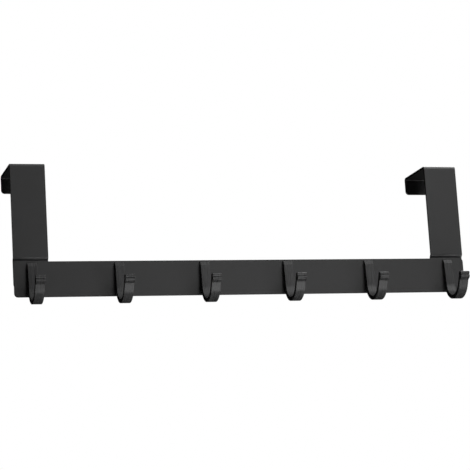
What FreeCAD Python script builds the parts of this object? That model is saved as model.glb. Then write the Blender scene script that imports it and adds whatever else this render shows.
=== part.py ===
"""Over door hook rail: two strap brackets that hook over a door's top edge, a flat rail
across them, and a row of J shaped coat hooks screwed on from behind.

Millimetres, +Z up, +X to the right as seen from the room, +Y into the door.
The origin is midway between the brackets, where the door's front face meets its top edge:
Y = 0 is the plane that the bracket tabs press against, Z = 0 the plane that they hang from.
"""
import FreeCAD, Part

import math
import os

import Sketcher

SIZES = [
    # alias, value, what it sets
    ("rail_length", 407.0, "rail, end to end"),
    ("rail_height", 30.4, "rail, top edge to bottom edge"),
    ("rail_thickness", 2.0, "rail sheet; the bracket steps back by as much, so the fronts are flush"),
    ("rail_corner_radius", 3.2, "rounding of the rail's four corners"),
    ("strap_width", 30.0, "width of the bracket strip"),
    ("strap_thickness", 2.0, "bracket strip sheet"),
    ("door_gap", 43.4, "tab's back face to the lip's inner face"),
    ("arm_drop", 83.0, "underside of the saddle down to the rail's top edge"),
    ("lip_drop", 13.6, "underside of the saddle down to the end of the back lip"),
    ("lip_corner_radius", 3.0, "rounding of the lip's two lower corners"),
    ("tab_drop", 22.0, "rail's top edge down to the end of the tab behind it"),
    ("tab_corner_radius", 3.0, "rounding of the tab's two lower corners"),
    ("bend_radius", 0.8, "inside radius of the two right angle bends"),
    ("step_radius", 0.5, "inside radius of the two bends of the step"),
    ("step_clearance", 1.2, "rail's top edge up to where the step starts"),
    ("step_lean", 45.0, "step's slope away from upright, in degrees"),
    ("hook_count", 6, "hooks along the rail"),
    ("hook_inset", 0.5, "end hooks stand this far inside the brackets' centre lines"),
    ("hook_width", 8.0, "hook, side to side"),
    ("hook_top_gap", 1.4, "rail's top edge down to the hook's top"),
    ("crown_depth", 1.0, "flat top of the hook, back to front"),
    ("bevel_depth", 2.3, "sloped top of the hook, back to front"),
    ("bevel_height", 3.4, "sloped top of the hook, top to bottom"),
    ("back_depth", 4.9, "back leg, from the rail out to the bowl"),
    ("bowl_radius", 13.4, "inside radius of the bowl"),
    ("bowl_drop", 22.6, "rail's top edge down to the bowl's centre"),
    ("leg_thickness", 3.5, "bowl and front leg"),
    ("leg_lean", 26.0, "front leg's lean away from upright, in degrees"),
    ("back_lean", 5.0, "back leg's front face, away from upright, in degrees"),
    ("tip_drop", 18.6, "rail's top edge down to the tip of the front leg"),
    ("tip_reach", 38.5, "rail's front face out to the foot of the tip's ribs"),
    ("tip_chin", 1.5, "sloped underside of the tip, top to bottom"),
    ("rib_count", 2, "grip ribs across the tip"),
    ("rib_pitch", 2.9, "from one rib to the next"),
    ("rib_proud", 0.9, "how far a rib stands out of the tip"),
    ("screw_radius", 1.5, "screw shank"),
    ("screw_head_radius", 2.9, "countersunk head at its face"),
    ("screw_socket_radius", 1.15, "hexagon socket, corner to centre"),
    ("screw_socket_depth", 1.0, "hexagon socket, depth"),
    ("screw_grip", 2.8, "screw's length inside the hook"),
    ("screw_hole_clearance", 0.2, "radial play of the shank in the sheets"),
    ("screw_tip_clearance", 0.2, "space left past the screw's tip"),
    ("screw_drop", 11.0, "rail's top edge down to the upper screw"),
    ("screw_pitch", 8.0, "upper screw down to the lower one"),
]

RAIL_TOP = "(-sizes.arm_drop)"
RAIL_BACK = "(-sizes.strap_thickness)"
RAIL_FRONT = "(-sizes.strap_thickness - sizes.rail_thickness)"
BRACKET_CENTRE = "((sizes.rail_length - sizes.strap_width) / 2)"
HOOK_SPAN = "(sizes.rail_length - sizes.strap_width - 2 * sizes.hook_inset)"
HOOK_PITCH = "(" + HOOK_SPAN + " / (sizes.hook_count - 1))"

FULL_TURN = 360.0
SOCKET_CORNER_COUNT = 6
SAME_PLACE = 0.001

doc = FreeCAD.newDocument("over_door_hook")


def make_sheet():
    """The driving dimensions, one named cell each."""
    sheet = doc.addObject("Spreadsheet::Sheet", "sizes")
    for row, (alias, value, meaning) in enumerate(SIZES, start=1):
        sheet.set("A%d" % row, alias)
        sheet.set("B%d" % row, str(value))
        sheet.set("C%d" % row, meaning)
        sheet.setAlias("B%d" % row, alias)
    doc.recompute()
    return sheet


sizes = make_sheet()


def value(expression):
    """What an expression of named sizes comes to now."""
    result = sizes.evalExpression(expression)
    return float(getattr(result, "Value", result))


def bind(thing, **properties):
    """Ties properties of an object to expressions of the named sizes."""
    for name, expression in properties.items():
        thing.setExpression(name.replace("__", "."), expression)


def place(thing, x="0", y="0", z="0"):
    """Ties where an object stands to expressions of the named sizes."""
    bind(thing, Placement__Base__x=x, Placement__Base__y=y, Placement__Base__z=z)


def new_body(label):
    body = doc.addObject("PartDesign::Body", label)
    body.Label = label
    return body


def origin_feature(body, role):
    return next(f for f in body.Origin.OriginFeatures if f.Role == role)


def new_sketch(body, name, plane):
    sketch = body.newObject("Sketcher::SketchObject", name)
    sketch.AttachmentSupport = (origin_feature(body, plane), [""])
    sketch.MapMode = "FlatFace"
    return sketch


def fix(sketch, kind, geometry, point, expression):
    """Adds one dimension to a sketch and ties it to the named sizes."""
    arguments = [kind, geometry] + ([point] if point else []) + [value(expression)]
    index = sketch.addConstraint(Sketcher.Constraint(*arguments))
    sketch.setExpression("Constraints[%d]" % index, expression)


def draw_outline(sketch, outline):
    """Draws a closed outline. Each entry is a corner (across, up) or, for a stretch that
    is an arc on to the next corner, (across, up, centre across, centre up, radius, turn),
    with turn +1 where the arc runs anticlockwise and -1 where it runs clockwise."""
    corners = [FreeCAD.Vector(value(entry[0]), value(entry[1]), 0) for entry in outline]
    starts = []
    ends = []
    for number, entry in enumerate(outline):
        here = corners[number]
        there = corners[(number + 1) % len(corners)]
        if len(entry) == 2:
            line = sketch.addGeometry(Part.LineSegment(here, there), False)
            starts.append((line, 1))
            ends.append((line, 2))
            continue
        centre = FreeCAD.Vector(value(entry[2]), value(entry[3]), 0)
        first, last = (here, there) if entry[5] > 0 else (there, here)
        angles = [math.atan2(p.y - centre.y, p.x - centre.x) for p in (first, last)]
        circle = Part.Circle(centre, FreeCAD.Vector(0, 0, 1), value(entry[4]))
        arc = sketch.addGeometry(Part.ArcOfCircle(circle, angles[0], angles[1]), False)
        starts.append((arc, 1 if entry[5] > 0 else 2))
        ends.append((arc, 2 if entry[5] > 0 else 1))
    for number, start in enumerate(starts):
        end = ends[number - 1]
        sketch.addConstraint(Sketcher.Constraint("Coincident", end[0], end[1], start[0], start[1]))
    for number, entry in enumerate(outline):
        geometry, point = starts[number]
        fix(sketch, "DistanceX", geometry, point, entry[0])
        fix(sketch, "DistanceY", geometry, point, entry[1])
        if len(entry) > 2:
            fix(sketch, "Radius", geometry, 0, entry[4])


def draw_circle(sketch, across, up, radius):
    centre = FreeCAD.Vector(value(across), value(up), 0)
    circle = sketch.addGeometry(Part.Circle(centre, FreeCAD.Vector(0, 0, 1), value(radius)), False)
    fix(sketch, "DistanceX", circle, 3, across)
    fix(sketch, "DistanceY", circle, 3, up)
    fix(sketch, "Radius", circle, 0, radius)


def pad(body, name, sketch, length, symmetric=False):
    feature = body.newObject("PartDesign::Pad", name)
    feature.Profile = sketch
    feature.Midplane = symmetric
    bind(feature, Length=length)
    doc.recompute()
    return feature


def pocket(body, name, sketch, depth, reverse):
    feature = body.newObject("PartDesign::Pocket", name)
    feature.Profile = sketch
    feature.Reversed = reverse
    bind(feature, Length=depth)
    doc.recompute()
    return feature


def edges_where(body, test):
    """Names of the edges that pass a test, in the body's own frame."""
    names = []
    for number, edge in enumerate(body.Tip.Shape.Edges, start=1):
        if test(edge):
            names.append("Edge%d" % number)
    return names


def runs_along(edge, axis):
    """Whether a straight edge runs along X, Y or Z."""
    if not isinstance(edge.Curve, Part.Line):
        return False
    return math.isclose(abs(getattr(edge.Curve.Direction, axis)), 1.0)


def stands_at(edge, **place_of):
    """Whether the middle of an edge has the given coordinates."""
    middle = edge.BoundBox.Center
    return all(math.isclose(getattr(middle, axis), at, abs_tol=SAME_PLACE)
               for axis, at in place_of.items())


def round_edges(body, name, names, radius):
    base = body.Tip
    feature = body.newObject("PartDesign::Fillet", name)
    feature.Base = (base, names)
    bind(feature, Radius=radius)
    doc.recompute()
    return feature


def countersink(body, name, names):
    """Opens holes to the screw head's cone."""
    base = body.Tip
    feature = body.newObject("PartDesign::Chamfer", name)
    feature.Base = (base, names)
    bind(feature, Size="sizes.screw_head_radius - sizes.screw_radius - sizes.screw_hole_clearance")
    doc.recompute()
    return feature


def hole_edges(body, across, depth_at):
    """The rims of the screw holes at one place across, on the face at one depth."""
    return edges_where(body, lambda edge: isinstance(edge.Curve, Part.Circle)
                       and stands_at(edge, x=across, y=depth_at)
                       and math.isclose(abs(edge.Curve.Axis.y), 1.0))


def make_rail():
    """A flat strip with rounded corners, drilled for the screws of every hook."""
    body = new_body("rail")
    place(body, y=RAIL_BACK, z=RAIL_TOP)
    blank = new_sketch(body, "rail_blank", "XZ_Plane")
    half = "sizes.rail_length / 2"
    draw_outline(blank, [
        ("-" + half, "-sizes.rail_height"),
        (half, "-sizes.rail_height"),
        (half, "0"),
        ("-" + half, "0"),
    ])
    pad(body, "rail_sheet", blank, "sizes.rail_thickness")
    corners = edges_where(body, lambda edge: runs_along(edge, "y"))
    round_edges(body, "rail_corners", corners, "sizes.rail_corner_radius")

    holes = new_sketch(body, "rail_hole_pair", "XZ_Plane")
    for row in range(2):
        draw_circle(holes, "-" + HOOK_SPAN + " / 2",
                    "-sizes.screw_drop - %d * sizes.screw_pitch" % row,
                    "sizes.screw_radius + sizes.screw_hole_clearance")
    drilled = pocket(body, "rail_holes", holes, "sizes.rail_thickness", True)
    row_of_holes = body.newObject("PartDesign::LinearPattern", "rail_hole_row")
    row_of_holes.Originals = [drilled]
    row_of_holes.Direction = (origin_feature(body, "X_Axis"), [""])
    bind(row_of_holes, Length=HOOK_SPAN, Occurrences="sizes.hook_count")
    body.Tip = row_of_holes
    doc.recompute()

    rims = []
    for number in range(1, int(value("sizes.hook_count")) - 1):
        across = value(HOOK_PITCH) * number - value(HOOK_SPAN) / 2
        rims += hole_edges(body, across, 0.0)
    countersink(body, "rail_countersinks", rims)
    return body


def make_bracket(label, side):
    """A strip bent over the door: tab behind the rail, step, front arm, saddle and lip.
    side is -1 for the left one and +1 for the right one."""
    body = new_body(label)
    place(body, x="%d * %s" % (side, BRACKET_CENTRE))
    section = new_sketch(body, label + "_section", "YZ_Plane")
    arm_front = RAIL_FRONT
    arm_back = "(-sizes.rail_thickness)"
    tab_front = RAIL_BACK
    tab_end = "(-sizes.arm_drop - sizes.tab_drop)"
    step_foot = "(-sizes.arm_drop + sizes.step_clearance)"
    step_head = "(" + step_foot + " + sizes.rail_thickness / tan(sizes.step_lean))"
    mitre = "sizes.strap_thickness * tan(sizes.step_lean / 2)"
    lip_back = "(sizes.door_gap + sizes.strap_thickness)"
    lip_end = "(-sizes.lip_drop)"
    draw_outline(section, [
        (tab_front, tab_end),
        (tab_front, step_foot),
        (arm_front, step_head),
        (arm_front, "sizes.strap_thickness"),
        (lip_back, "sizes.strap_thickness"),
        (lip_back, lip_end),
        ("sizes.door_gap", lip_end),
        ("sizes.door_gap", "0"),
        (arm_back, "0"),
        (arm_back, step_head + " + " + mitre),
        ("0", step_foot + " + " + mitre),
        ("0", tab_end),
    ])
    pad(body, label + "_strip", section, "sizes.strap_width", symmetric=True)

    def bends(corners):
        places = [(value(across), value(up)) for across, up in corners]
        return edges_where(body, lambda edge: runs_along(edge, "x") and any(
            stands_at(edge, y=across, z=up) for across, up in places))

    round_edges(body, label + "_bends_inside",
                bends([(arm_back, "0"), ("sizes.door_gap", "0")]), "sizes.bend_radius")
    round_edges(body, label + "_bends_outside",
                bends([(arm_front, "sizes.strap_thickness"), (lip_back, "sizes.strap_thickness")]),
                "sizes.bend_radius + sizes.strap_thickness")
    round_edges(body, label + "_step_inside",
                bends([(tab_front, step_foot), (arm_back, step_head + " + " + mitre)]),
                "sizes.step_radius")
    round_edges(body, label + "_step_outside",
                bends([(arm_front, step_head), ("0", step_foot + " + " + mitre)]),
                "sizes.step_radius + sizes.strap_thickness")

    def lower_corners(middle, up):
        return edges_where(body, lambda edge: runs_along(edge, "y")
                           and stands_at(edge, y=value(middle), z=value(up)))

    round_edges(body, label + "_lip_corners",
                lower_corners("sizes.door_gap + sizes.strap_thickness / 2", lip_end),
                "sizes.lip_corner_radius")
    round_edges(body, label + "_tab_corners",
                lower_corners("-sizes.strap_thickness / 2", tab_end),
                "sizes.tab_corner_radius")

    holes = new_sketch(body, label + "_hole_pair", "XZ_Plane")
    across = "%d * sizes.hook_inset" % -side
    for row in range(2):
        draw_circle(holes, across,
                    "-sizes.arm_drop - sizes.screw_drop - %d * sizes.screw_pitch" % row,
                    "sizes.screw_radius + sizes.screw_hole_clearance")
    pocket(body, label + "_holes", holes, "sizes.strap_thickness", True)
    countersink(body, label + "_countersinks", hole_edges(body, value(across), 0.0))
    return body


def hook_outline():
    """The hook's side, as (depth, height): the rail's front face is at depth 0, the room
    on the negative side, and height 0 is the rail's top edge."""
    top = "(-sizes.hook_top_gap)"
    bevel_foot = "(" + top + " - sizes.bevel_height)"
    centre_depth = "(-sizes.back_depth - sizes.bowl_radius)"
    centre_height = "(-sizes.bowl_drop)"
    inner = "sizes.bowl_radius"
    outer = "(sizes.bowl_radius + sizes.leg_thickness)"
    bottom = "(" + centre_height + " - " + outer + ")"
    heel_radius = "(sizes.back_depth + sizes.bowl_radius)"
    heel_height = "(" + bottom + " + " + heel_radius + ")"
    ribs_height = "(sizes.rib_count * sizes.rib_pitch)"
    tip = "(-sizes.tip_drop)"
    ribs_foot = "(" + tip + " - " + ribs_height + ")"
    chin = "(" + ribs_foot + " - sizes.tip_chin)"
    tip_front = "(-sizes.tip_reach)"

    def on_bowl(radius, lean):
        return (centre_depth + " - " + radius + " * cos(" + lean + ")",
                centre_height + " - " + radius + " * sin(" + lean + ")")

    def up_the_leg(foot, height):
        """Where the leaning leg has got to at a height, starting from its foot."""
        return "(%s - (%s - (%s)) * tan(sizes.leg_lean))" % (foot[0], height, foot[1])

    leg_foot_inner = on_bowl(inner, "sizes.leg_lean")
    leg_foot_outer = on_bowl(outer, "sizes.leg_lean")
    back_foot = (centre_depth + " + " + inner + " * cos(sizes.back_lean)",
                 centre_height + " - " + inner + " * sin(sizes.back_lean)")

    outline = [
        ("0", top),
        ("-sizes.crown_depth", top),
        ("-sizes.crown_depth - sizes.bevel_depth", bevel_foot),
        back_foot + (centre_depth, centre_height, inner, -1),
        leg_foot_inner,
        (up_the_leg(leg_foot_inner, tip), tip),
    ]
    rib_sagitta = "sizes.rib_proud"
    rib_radius = "((sizes.rib_pitch ^ 2 / 4 + " + rib_sagitta + " ^ 2) / (2 * " + rib_sagitta + "))"
    rib_centre = "(" + tip_front + " + " + rib_radius + " - " + rib_sagitta + ")"
    for rib in range(int(value("sizes.rib_count"))):
        rib_top = "(" + tip + " - %d * sizes.rib_pitch)" % rib
        outline.append((tip_front, rib_top, rib_centre,
                        rib_top + " - sizes.rib_pitch / 2", rib_radius, 1))
    outline += [
        (tip_front, ribs_foot),
        (up_the_leg(leg_foot_outer, chin), chin),
        leg_foot_outer + (centre_depth, centre_height, outer, 1),
        (centre_depth, bottom, centre_depth, heel_height, heel_radius, 1),
        ("0", heel_height),
    ]
    return outline


def make_hook(number):
    """One hook: its side drawn once and given its width, tapped from behind."""
    label = "hook_%d" % number
    body = new_body(label)
    across = "%d * %s - %s / 2" % (number - 1, HOOK_PITCH, HOOK_SPAN)
    place(body, x=across, y=RAIL_FRONT, z=RAIL_TOP)
    side = new_sketch(body, label + "_side", "YZ_Plane")
    draw_outline(side, hook_outline())
    pad(body, label + "_blank", side, "sizes.hook_width", symmetric=True)

    holes = new_sketch(body, label + "_tapped_pair", "XZ_Plane")
    for row in range(2):
        draw_circle(holes, "0", "-sizes.screw_drop - %d * sizes.screw_pitch" % row,
                    "sizes.screw_radius")
    pocket(body, label + "_tapped_holes", holes, "sizes.screw_grip + sizes.screw_tip_clearance", True)
    return body


def make_screws(label, head_face, first_across, across_span, across_count):
    """A group of equal countersunk screws in two rows, heads on the door's side."""
    body = new_body(label)
    body.AllowCompound = True
    place(body, x=first_across, y=head_face, z="-sizes.arm_drop - sizes.screw_drop")
    length = "(" + head_face + " - " + RAIL_FRONT + " + sizes.screw_grip)"
    half = new_sketch(body, label + "_half", "XY_Plane")
    draw_outline(half, [
        ("0", "0"),
        ("0", "-" + length),
        ("sizes.screw_radius", "-" + length),
        ("sizes.screw_radius", "sizes.screw_radius - sizes.screw_head_radius"),
        ("sizes.screw_head_radius", "0"),
    ])
    turned = body.newObject("PartDesign::Revolution", label + "_turned")
    turned.Profile = half
    turned.ReferenceAxis = (half, ["V_Axis"])
    turned.Angle = FULL_TURN
    doc.recompute()

    hexagon = new_sketch(body, label + "_hexagon", "XZ_Plane")
    turns = [corner * FULL_TURN / SOCKET_CORNER_COUNT for corner in range(SOCKET_CORNER_COUNT)]
    draw_outline(hexagon, [("sizes.screw_socket_radius * cos(%g)" % turn,
                            "sizes.screw_socket_radius * sin(%g)" % turn) for turn in turns])
    socket = pocket(body, label + "_socket", hexagon, "sizes.screw_socket_depth", True)

    across = body.newObject("PartDesign::LinearPattern", label + "_across")
    across.Direction = (origin_feature(body, "X_Axis"), [""])
    bind(across, Length=across_span, Occurrences=across_count)
    down = body.newObject("PartDesign::LinearPattern", label + "_down")
    down.Direction = (origin_feature(body, "Z_Axis"), [""])
    down.Reversed = True
    down.Occurrences = 2
    bind(down, Length="sizes.screw_pitch")
    group = body.newObject("PartDesign::MultiTransform", label + "_group")
    group.Originals = [turned, socket]
    group.Transformations = [across, down]
    body.Tip = group
    doc.recompute()
    return body


def make_all():
    nodes = [
        make_rail(),
        make_bracket("left_bracket", -1),
        make_bracket("right_bracket", 1),
    ]
    nodes += [make_hook(number) for number in range(1, int(value("sizes.hook_count")) + 1)]
    nodes.append(make_screws("bracket_screws", "0", "-" + HOOK_SPAN + " / 2", HOOK_SPAN, "2"))
    nodes.append(make_screws("hook_screws", RAIL_BACK, HOOK_PITCH + " - " + HOOK_SPAN + " / 2",
                             HOOK_SPAN + " - 2 * " + HOOK_PITCH, "sizes.hook_count - 2"))
    doc.recompute()
    return nodes


def write_all(nodes):
    """Stops on anything that failed, then writes one file for each node."""
    for thing in doc.Objects:
        if {"Invalid", "Error"} & set(thing.State):
            raise RuntimeError("%s failed: %s" % (thing.Label, thing.State))
    for body in nodes:
        if body.Shape.isNull() or not body.Shape.isValid():
            raise RuntimeError("%s has no sound solid" % body.Label)
    os.makedirs("parts", exist_ok=True)
    for body in nodes:
        body.Shape.exportStep("parts/%s.step" % body.Label)
        print(body.Label, "solids", len(body.Shape.Solids), "volume", round(body.Shape.Volume, 1))


write_all(make_all())
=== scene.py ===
"""Looks of the over door hook rail: its coats, its screws' steel, a plain studio and the camera.

Metres, in the part's own frame: +X right as seen from the room, +Y into the door, +Z up,
the origin midway between the brackets, where the door's front face meets its top edge.
"""
from math import cos, radians, sin

import bpy
from mathutils import Matrix, Vector

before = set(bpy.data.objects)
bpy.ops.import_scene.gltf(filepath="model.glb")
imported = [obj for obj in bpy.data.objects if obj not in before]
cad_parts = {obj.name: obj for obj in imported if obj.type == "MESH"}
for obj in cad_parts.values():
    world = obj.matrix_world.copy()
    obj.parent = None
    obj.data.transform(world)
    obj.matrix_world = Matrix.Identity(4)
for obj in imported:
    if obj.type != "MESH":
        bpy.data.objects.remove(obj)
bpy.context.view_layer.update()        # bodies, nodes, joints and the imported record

MM = 0.001

# camera: where it stands, how many degrees it looks to the right, up and round its own line of sight,
# its lens in millimetres, and the nearest and furthest that it sees
CAMERA_PLACE = Vector((-0.46790, -1.54970, -0.37700))
CAMERA_TURN = 16.56
CAMERA_RISE = 11.09
CAMERA_ROLL = -3.48
CAMERA_LENS = 144.57
CAMERA_REACH = (0.05, 60.0)

# floor, far enough down for the low lamps to stand above it: its paint, how bright the camera sees it,
# and the distances over which that rises to white
FLOOR_HEIGHT = -1.13
FLOOR_SIZE = 60.0
FLOOR_COLOUR = (0.75, 0.75, 0.75)
FLOOR_GLOW = 0.78
FLOOR_WHITENS = (0.6, 3.5)

# a pool of light painted on the floor in front, as a glow that only shiny surfaces reflect, and the distances
# over which it fades
PATCH_MIDDLE = Vector((0.4, -0.9, FLOOR_HEIGHT))
PATCH_GLOW = 0.6
PATCH_FADES = (0.5, 1.4)

# the white part of the room that shiny surfaces reflect: its middle, how it fades in, by the cosine
# of the angle to that middle, and the little light that comes from all round
WHITE = (1.0, 1.0, 1.0)
WHITE_MIDDLE = Vector((0.35, -0.25, 0.90)).normalized()
WHITE_FADES = (0.60, 0.95)
FILL = 0.006

# lamps: name, degrees to the right of straight in front of the part, degrees up, distance,
# side and power in watts
LAMP_AIM = Vector((0.0, 0.0, -0.08))
LAMP_SPREAD = radians(70)
LAMPS = [
    ("key", 45, 48, 1.6, 0.9, 1.10),
    ("top", 60, 60, 1.6, 0.9, 0.31),
    ("front_high", 25, 30, 1.8, 0.8, 0.85),
    ("front", 17, 5, 1.8, 0.8, 0.42),
    ("low_front", 17, -30, 1.3, 0.6, 0.50),
    ("low", 20, -50, 1.15, 0.5, 0.50),
    ("low_right", 45, -45, 1.2, 0.5, 0.21),
    ("back", 135, 40, 1.8, 0.9, 2.5),
    ("low_back", 120, 3, 1.8, 0.9, 3.0),
]

# the two coats: an even one on the bent sheets, and one brushed along the hooks, which run in Y and Z;
# edge is the radius to which the shading rounds them, and wear the share of the coat rubbed off there
SHEET_COAT = dict(
    colour=(0.0224, 0.0224, 0.0227), roughness=0.43, specular=0.42,
    grain_size=0.45 * MM, grain_stretch=(1.0, 1.0, 1.0), grain_depth=0.05,
    edge=0.25 * MM, wear=0.35)
HOOK_COAT = dict(
    colour=(0.0455, 0.0455, 0.046), roughness=0.28, specular=0.19,
    grain_size=0.8 * MM, grain_stretch=(1.0, 16.0, 16.0), grain_depth=0.16,
    edge=0.35 * MM, wear=0.6)
COAT_BUMP = 0.12

# the share of the grain's depth by which it changes the roughness too
GRAIN_IN_ROUGHNESS = 1 / 3

# broad clouds in the coats' brightness and roughness
CLOUD_SIZE = 22 * MM
CLOUD_SHADE = 0.05
CLOUD_ROUGHNESS = 0.02

# the coats' rubbed edges: their colour, the size of the rubbed spots, the noise from the least rubbed
# to the most rubbed, and the least as a share of the most
WORN_COLOUR = (0.11, 0.11, 0.112)
RUB_SIZE = 2.5 * MM
RUB_RANGE = (0.42, 0.62)
LEAST_RUBBED = 0.15

# how open a place is to its surroundings, within the reach: from deep in a groove to the flats,
# and from the flats to the outer edges; and the shade painted into grooves: how bright a groove is against
# the flats
OPENNESS_REACH = 1.2 * MM
GROOVE_TO_FLAT = (0.3, 0.8)
FLAT_TO_EDGE = (0.75, 0.95)
PAINTED_GROOVE_SHADE = 0.45

# the screws' blackened steel
STEEL_COLOUR = (0.16, 0.16, 0.165)
STEEL_METALLIC = 0.9
STEEL_ROUGHNESS = (0.30, 0.42)
STEEL_BUMP = 0.15
RIM_COLOUR = (0.40, 0.40, 0.41)
SCREW_EDGE = 0.15 * MM
SPECK_SIZE = 0.3 * MM
SMUDGE_SIZE = 3.0 * MM
SMUDGE_SHADES = (0.75, 1.15)

# how far grain and specks are raised at a bump of 1
GRAIN_HEIGHT = 0.02 * MM

# noise: the part of its range that it hardly leaves, and how much finer noise lies over the blots
# of clouds and smudges, and over those of grain, rubs and specks
NOISE_SPAN = (0.3, 0.7)
BROAD_DETAIL = 2.0
FINE_DETAIL = 3.0

# finding edges and grooves: the rays sent out from each point, and the cosine between the true
# normal and the rounded one, from where a flat ends to where an edge is full
PROBE_RAYS = 8
FLAT_TO_ROUNDED = (0.99, 0.85)


def empty_tree(owner):
    """The node tree of a material or the world, with nothing in it."""
    owner.use_nodes = True
    owner.node_tree.nodes.clear()
    return owner.node_tree


def add_node(tree, kind, inputs=(), **settings):
    """Adds a node, sets its properties, and fills its inputs with values or other nodes' outputs."""
    node = tree.nodes.new(kind)
    for name, value in settings.items():
        setattr(node, name, value)
    for socket, value in inputs:
        if isinstance(value, bpy.types.NodeSocket):
            tree.links.new(value, node.inputs[socket])
        else:
            node.inputs[socket].default_value = value
    return node


def add_math(tree, operation, first, second):
    """Works out one value from two."""
    return add_node(tree, "ShaderNodeMath", [(0, first), (1, second)], operation=operation).outputs[0]


def add_range(tree, value, low, high, new_low, new_high):
    """Maps a value from one range on to another, and keeps it inside."""
    node = add_node(tree, "ShaderNodeMapRange", [
        ("Value", value), ("From Min", low), ("From Max", high), ("To Min", new_low), ("To Max", new_high)])
    return node.outputs[0]


def add_noise(tree, size, stretch=(1.0, 1.0, 1.0), detail=BROAD_DETAIL):
    """Noise with blots of about the given size, stretched along the axes."""
    place = add_node(tree, "ShaderNodeTexCoord").outputs["Object"]
    scaled = add_node(tree, "ShaderNodeVectorMath", [
        (0, place), (1, tuple(1 / (size * factor) for factor in stretch))], operation="MULTIPLY")
    noise = add_node(tree, "ShaderNodeTexNoise", [
        ("Vector", scaled.outputs[0]), ("Scale", 1.0), ("Detail", detail)])
    return noise.outputs["Fac"]


def add_spread(tree, noise, low, high):
    """Spreads a noise, which stays near its middle, over the given range."""
    return add_range(tree, noise, *NOISE_SPAN, low, high)


def add_scaled(tree, colour, factor):
    """The colour, made brighter or darker by the factor."""
    return add_node(tree, "ShaderNodeVectorMath", [
        (0, colour), ("Scale", factor)], operation="SCALE").outputs[0]


def add_rounding(tree, radius):
    """A normal that rounds the edges, and 1 where it leaves the true one, which is along them."""
    rounded = add_node(tree, "ShaderNodeBevel", [("Radius", radius)], samples=PROBE_RAYS).outputs[0]
    true = add_node(tree, "ShaderNodeNewGeometry").outputs["Normal"]
    likeness = add_node(tree, "ShaderNodeVectorMath", [(0, rounded), (1, true)], operation="DOT_PRODUCT")
    return rounded, add_range(tree, likeness.outputs["Value"], *FLAT_TO_ROUNDED, 0.0, 1.0)


def add_openness(tree, reach):
    """1 in the open and on outer edges, and less down in grooves and inner corners."""
    hollow = add_node(tree, "ShaderNodeAmbientOcclusion", [
        ("Distance", reach)], samples=PROBE_RAYS, only_local=True)
    return hollow.outputs["AO"]


def add_mix(tree, share, first, second):
    """A colour between two: the first at a share of 0, and the second at 1."""
    node = add_node(tree, "ShaderNodeMix", [
        ("Factor", share), ("A", first), ("B", second)], data_type="RGBA")
    return node.outputs["Result"]


def add_bump(tree, grain, strength, rounded):
    """The rounded normal, with the grain raised on it."""
    bump = add_node(tree, "ShaderNodeBump", [
        ("Strength", strength), ("Distance", GRAIN_HEIGHT), ("Height", grain), ("Normal", rounded)])
    return bump.outputs[0]


def add_surface(tree, inputs):
    """The material's shader, with the given inputs, and its output."""
    shader = add_node(tree, "ShaderNodeBsdfPrincipled", inputs)
    add_node(tree, "ShaderNodeOutputMaterial", [("Surface", shader.outputs[0])])


def make_coat(name, colour, roughness, specular, grain_size, grain_stretch, grain_depth, edge, wear):
    """A thin satin coat on metal: cloudy in colour and gloss, grained or brushed, with shade painted
    darker into its grooves, and worn along its outer edges."""
    material = bpy.data.materials.new(name)
    tree = empty_tree(material)
    clouds = add_noise(tree, CLOUD_SIZE)
    grain = add_noise(tree, grain_size, grain_stretch, detail=FINE_DETAIL)
    rubs = add_noise(tree, RUB_SIZE, detail=FINE_DETAIL)
    open_here = add_openness(tree, OPENNESS_REACH)
    rounded, at_edge = add_rounding(tree, edge)

    cloudy = add_math(tree, "ADD", add_spread(tree, clouds, 1 - CLOUD_SHADE, 1 + CLOUD_SHADE),
                      add_spread(tree, grain, -grain_depth, grain_depth))
    # painted shade: the colour is darkened in grooves and inner corners, the less open the place, the darker
    painted_groove_shade = add_range(tree, open_here, *GROOVE_TO_FLAT, PAINTED_GROOVE_SHADE, 1.0)
    shade = add_math(tree, "MULTIPLY", cloudy, painted_groove_shade)
    at_outer_edge = add_math(tree, "MULTIPLY", at_edge, add_range(tree, open_here, *FLAT_TO_EDGE, 0.0, 1.0))
    rubbed = add_range(tree, rubs, *RUB_RANGE, LEAST_RUBBED * wear, wear)
    worn = add_math(tree, "MULTIPLY", at_outer_edge, rubbed)
    grain_roughness = grain_depth * GRAIN_IN_ROUGHNESS
    rough = add_math(tree, "ADD",
                     add_spread(tree, clouds, roughness - CLOUD_ROUGHNESS, roughness + CLOUD_ROUGHNESS),
                     add_spread(tree, grain, -grain_roughness, grain_roughness))
    add_surface(tree, [
        ("Base Color", add_mix(tree, worn, add_scaled(tree, colour, shade), (*WORN_COLOUR, 1.0))),
        ("Roughness", rough),
        ("Specular IOR Level", specular),
        ("Normal", add_bump(tree, grain, COAT_BUMP, rounded)),
    ])
    return material


def make_steel(name):
    """Turned steel, blackened, speckled and smudged, with brighter rims."""
    material = bpy.data.materials.new(name)
    tree = empty_tree(material)
    specks = add_noise(tree, SPECK_SIZE, detail=FINE_DETAIL)
    smudges = add_noise(tree, SMUDGE_SIZE)
    rounded, at_edge = add_rounding(tree, SCREW_EDGE)
    smudged = add_scaled(tree, STEEL_COLOUR, add_spread(tree, smudges, *SMUDGE_SHADES))
    add_surface(tree, [
        ("Base Color", add_mix(tree, at_edge, smudged, (*RIM_COLOUR, 1.0))),
        ("Metallic", STEEL_METALLIC),
        ("Roughness", add_spread(tree, specks, *STEEL_ROUGHNESS)),
        ("Normal", add_bump(tree, specks, STEEL_BUMP, rounded)),
    ])
    return material


def dress_all():
    """Gives every piece its finish."""
    sheet_coat = make_coat("sheet_coat", **SHEET_COAT)
    hook_coat = make_coat("hook_coat", **HOOK_COAT)
    steel = make_steel("screw_steel")
    for name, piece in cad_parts.items():
        if name.endswith("_screws"):
            finish = steel
        elif name.startswith("hook_"):
            finish = hook_coat
        else:
            finish = sheet_coat
        piece.data.materials.clear()
        piece.data.materials.append(finish)


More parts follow.
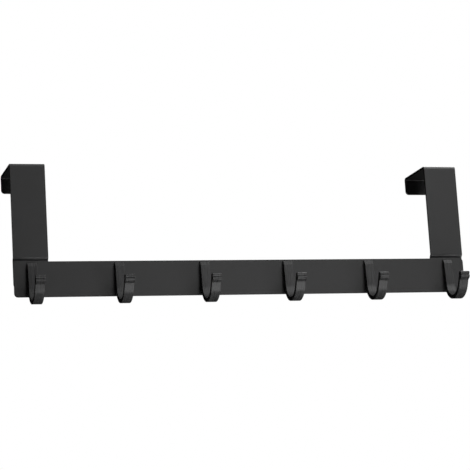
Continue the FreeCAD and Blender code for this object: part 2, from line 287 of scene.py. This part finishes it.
def make_camera():
    """The camera of the photograph, as its straight edges place it."""
    data = bpy.data.cameras.new("camera")
    data.lens = CAMERA_LENS
    data.clip_start, data.clip_end = CAMERA_REACH
    camera = bpy.data.objects.new("camera", data)
    camera.matrix_world = (Matrix.Translation(CAMERA_PLACE)
                           @ Matrix.Rotation(radians(-CAMERA_TURN), 4, "Z")
                           @ Matrix.Rotation(radians(90 + CAMERA_RISE), 4, "X")
                           @ Matrix.Rotation(radians(CAMERA_ROLL), 4, "Z"))
    bpy.context.scene.collection.objects.link(camera)
    bpy.context.scene.camera = camera


def make_lamp(name, turn, rise, distance, side, power):
    """A square lamp that points at the middle of the part, and that the camera doesn't see."""
    data = bpy.data.lights.new(name, "AREA")
    data.shape = "SQUARE"
    data.size = side
    data.energy = power
    data.spread = LAMP_SPREAD
    lamp = bpy.data.objects.new(name, data)
    across, up = radians(turn), radians(rise)
    direction = Vector((sin(across) * cos(up), -cos(across) * cos(up), sin(up)))
    lamp.location = LAMP_AIM + distance * direction
    lamp.rotation_mode = "QUATERNION"
    lamp.rotation_quaternion = (-direction).to_track_quat("-Z", "Y")
    lamp.visible_camera = False
    bpy.context.scene.collection.objects.link(lamp)


def add_seen(tree):
    """1 for what the camera sees, directly or through glass."""
    path = add_node(tree, "ShaderNodeLightPath")
    return add_math(tree, "MAXIMUM", path.outputs["Is Camera Ray"], path.outputs["Is Transmission Ray"])


def add_reflected(tree):
    """1 for what a shiny surface reflects."""
    return add_node(tree, "ShaderNodeLightPath").outputs["Is Glossy Ray"]


def add_distance(tree, middle):
    """How far a point of the surface is from the given one."""
    place = add_node(tree, "ShaderNodeTexCoord").outputs["Object"]
    return add_node(tree, "ShaderNodeVectorMath", [
        (0, place), (1, middle)], operation="DISTANCE").outputs["Value"]


def make_floor():
    """A pale floor that keeps the part's shadow and whitens into the room further off; in front, a pool of
    light painted on it shows only in reflections.
    """
    half = FLOOR_SIZE / 2
    mesh = bpy.data.meshes.new("floor")
    corners = [(-half, -half, FLOOR_HEIGHT), (half, -half, FLOOR_HEIGHT),
               (half, half, FLOOR_HEIGHT), (-half, half, FLOOR_HEIGHT)]
    mesh.from_pydata(corners, [], [(0, 1, 2, 3)])
    floor = bpy.data.objects.new("floor", mesh)
    material = bpy.data.materials.new("floor_paint")
    tree = empty_tree(material)
    under_part = add_distance(tree, Vector((0.0, 0.0, FLOOR_HEIGHT)))
    seen_glow = add_range(tree, under_part, *FLOOR_WHITENS, FLOOR_GLOW, 1.0)
    seen = add_math(tree, "MULTIPLY", add_seen(tree), seen_glow)
    # painted light: a glow on the floor in front that only shiny surfaces see
    patch_glow = add_range(tree, add_distance(tree, PATCH_MIDDLE), *PATCH_FADES, PATCH_GLOW, 0.0)
    reflected = add_math(tree, "MULTIPLY", add_reflected(tree), patch_glow)
    paint = add_node(tree, "ShaderNodeBsdfDiffuse", [("Color", (*FLOOR_COLOUR, 1.0))])
    glow = add_node(tree, "ShaderNodeEmission", [("Strength", add_math(tree, "MAXIMUM", seen, reflected))])
    both = add_node(tree, "ShaderNodeAddShader", [(0, paint.outputs[0]), (1, glow.outputs[0])])
    add_node(tree, "ShaderNodeOutputMaterial", [("Surface", both.outputs[0])])
    mesh.materials.append(material)
    bpy.context.scene.collection.objects.link(floor)


def add_whiteness(tree):
    """How white the room is in each direction, 0 to 1."""
    direction = add_node(tree, "ShaderNodeTexCoord").outputs["Generated"]
    facing = add_node(tree, "ShaderNodeVectorMath", [
        (0, direction), (1, WHITE_MIDDLE)], operation="DOT_PRODUCT").outputs["Value"]
    fade_start, fade_end = WHITE_FADES
    whiteness = add_node(tree, "ShaderNodeMapRange", [
        ("Value", facing), ("From Min", fade_start), ("From Max", fade_end)], interpolation_type="SMOOTHSTEP")
    return whiteness.outputs[0]


def make_world():
    """White where the camera looks past the part, and where shiny surfaces reflect the room above
    it. The rest of what they reflect is nearly dark."""
    world = bpy.data.worlds.new("studio")
    bpy.context.scene.world = world
    tree = empty_tree(world)
    reflected = add_math(tree, "MULTIPLY", add_reflected(tree), add_whiteness(tree))
    strength = add_math(tree, "MAXIMUM", add_math(tree, "MAXIMUM", add_seen(tree), reflected), FILL)
    background = add_node(tree, "ShaderNodeBackground", [("Color", (*WHITE, 1.0)), ("Strength", strength)])
    add_node(tree, "ShaderNodeOutputWorld", [("Surface", background.outputs[0])])


dress_all()
make_floor()
make_world()
for lamp in LAMPS:
    make_lamp(*lamp)
make_camera()
bpy.context.scene.view_settings.view_transform = "Standard"
